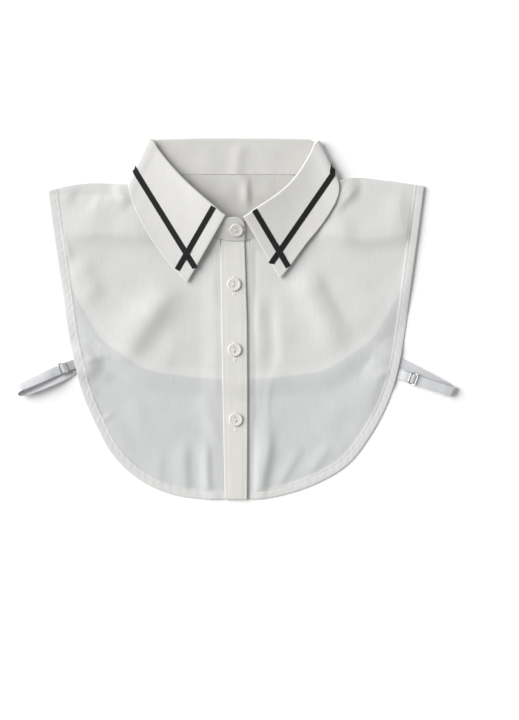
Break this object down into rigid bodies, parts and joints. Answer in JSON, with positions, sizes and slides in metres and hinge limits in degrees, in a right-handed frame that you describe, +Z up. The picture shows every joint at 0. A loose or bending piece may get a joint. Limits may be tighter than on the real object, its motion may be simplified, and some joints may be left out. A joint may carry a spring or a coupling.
{
  "type": "detachable shirt collar",
  "caption": "Detachable shirt collar with a short buttoned front and back, contrast tape on the collar points and elastic side loops, laid flat with its front up.",
  "frame": {"origin": "centre of the garment's outline in plan, on the surface that it lies on", "axes": "+X across the shoulders to the wearer's left, +Y from the hem to the neck, +Z up, out of the garment's front"},
  "size_m": [0.3972, 0.3235, 0.0158],
  "materials": {
    "white_cloth": "fine plain weave, matt, slightly sheer",
    "black_tape": "narrow woven tape, matt",
    "button_white": "turned resin, soft gloss",
    "white_elastic": "satin elastic ribbon, slight sheen",
    "slider_metal": "bright nickel plate"
  },
  "bodies": {
    "root": {"back_panel": "white_cloth", "front_left": "white_cloth", "front_right": "white_cloth", "placket_under": "white_cloth", "placket_top": "white_cloth", "collar_stand": "white_cloth", "collar_leaf": "white_cloth", "tape_edge_left": "black_tape", "tape_front_left": "black_tape", "tape_edge_right": "black_tape", "tape_front_right": "black_tape", "button_1": "button_white", "button_2": "button_white", "button_3": "button_white", "button_4": "button_white", "strap_left": "white_elastic", "strap_right": "white_elastic", "slider_left": "slider_metal", "slider_right": "slider_metal"}
  },
  "joints": []
}
